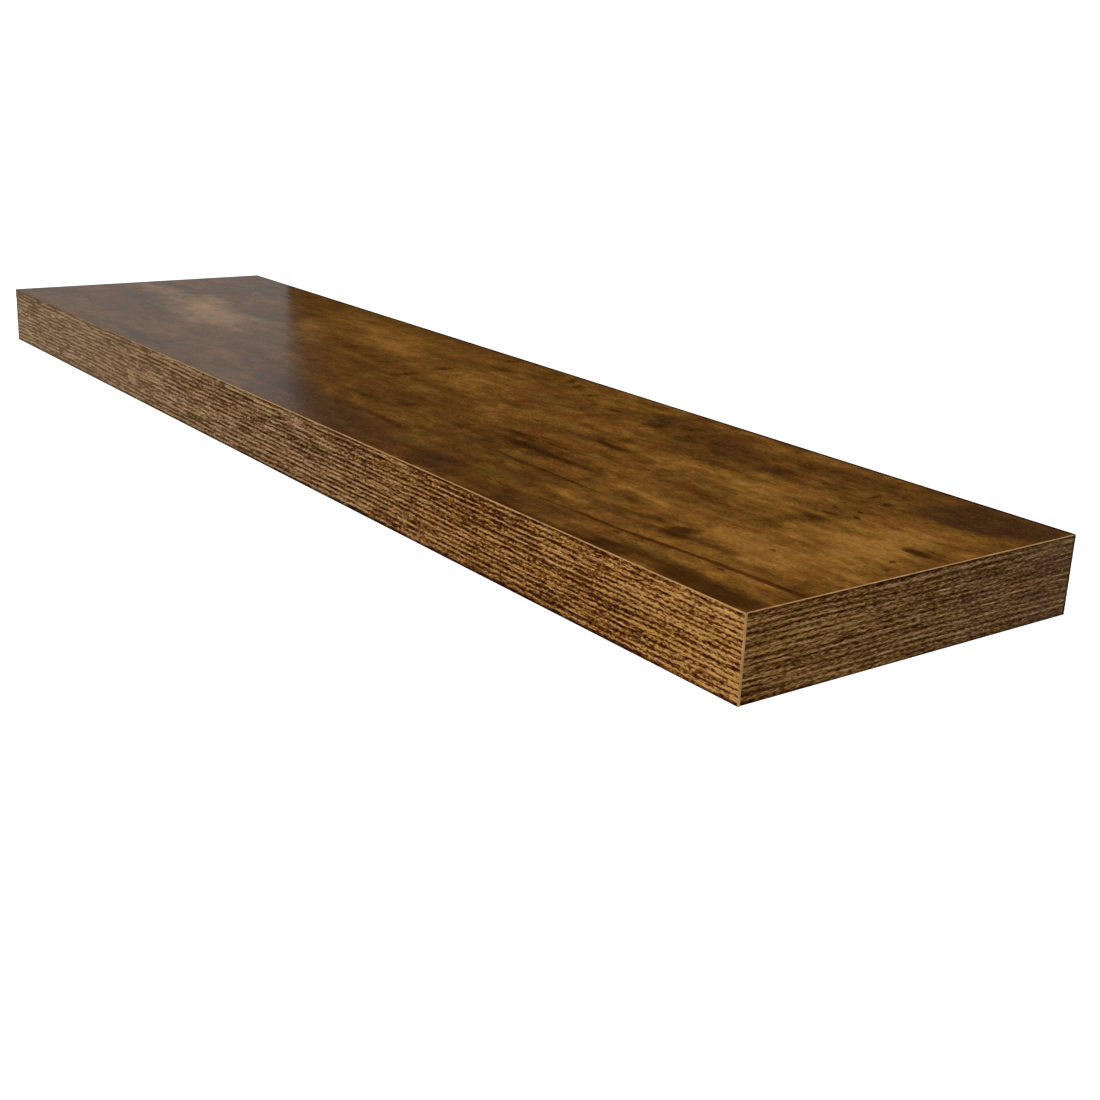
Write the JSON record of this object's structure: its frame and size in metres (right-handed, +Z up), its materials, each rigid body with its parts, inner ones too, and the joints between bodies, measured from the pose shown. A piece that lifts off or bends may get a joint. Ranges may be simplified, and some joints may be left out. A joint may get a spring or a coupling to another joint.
{
  "type": "floating wall shelf",
  "caption": "Hollow-core floating wall shelf: a wood-decor board that slides onto the rods of a hidden wall bracket and is locked from below.",
  "frame": {"origin": "centre of the wall strip's back face, on the wall plane, at the middle of the board's thickness", "axes": "+X along the shelf to the right as seen from the room, +Y into the wall, +Z up; the board stands out from the wall towards -Y"},
  "size_m": [0.8, 0.2, 0.038],
  "materials": {
    "decor_laminate": "satin",
    "decor_edging": "matte",
    "chipboard": "matte",
    "kraft_paper": "matte",
    "zinc_plated_steel": "satin",
    "black_steel": "satin",
    "insert_brass": "satin"
  },
  "bodies": {
    "wall_bracket": {"wall_strip": "zinc_plated_steel", "left_support_rod": "zinc_plated_steel", "right_support_rod": "zinc_plated_steel"},
    "shelf_board": {"top_panel": "decor_laminate", "bottom_panel": "decor_laminate", "front_rail": "chipboard", "rear_rail": "chipboard", "left_end_rail": "chipboard", "right_end_rail": "chipboard", "left_rod_block": "chipboard", "right_rod_block": "chipboard", "left_honeycomb": "kraft_paper", "centre_honeycomb": "kraft_paper", "right_honeycomb": "kraft_paper", "front_edge_band": "decor_edging", "left_edge_band": "decor_edging", "right_edge_band": "decor_edging", "left_insert_nut": "insert_brass", "right_insert_nut": "insert_brass"},
    "left_lock": {"left_lock_screw": "black_steel"},
    "right_lock": {"right_lock_screw": "black_steel"}
  },
  "joints": [
    {"name": "board_slide", "type": "slide", "parent": "wall_bracket", "child": "shelf_board", "axis": [0, -1, 0], "range_m": [0, 0.15]},
    {"name": "left_lock_travel", "type": "slide", "parent": "shelf_board", "child": "left_lock", "axis": [0, 0, -1], "range_m": [0, 0.006]},
    {"name": "right_lock_travel", "type": "slide", "parent": "shelf_board", "child": "right_lock", "axis": [0, 0, -1], "range_m": [0, 0.006]}
  ]
}
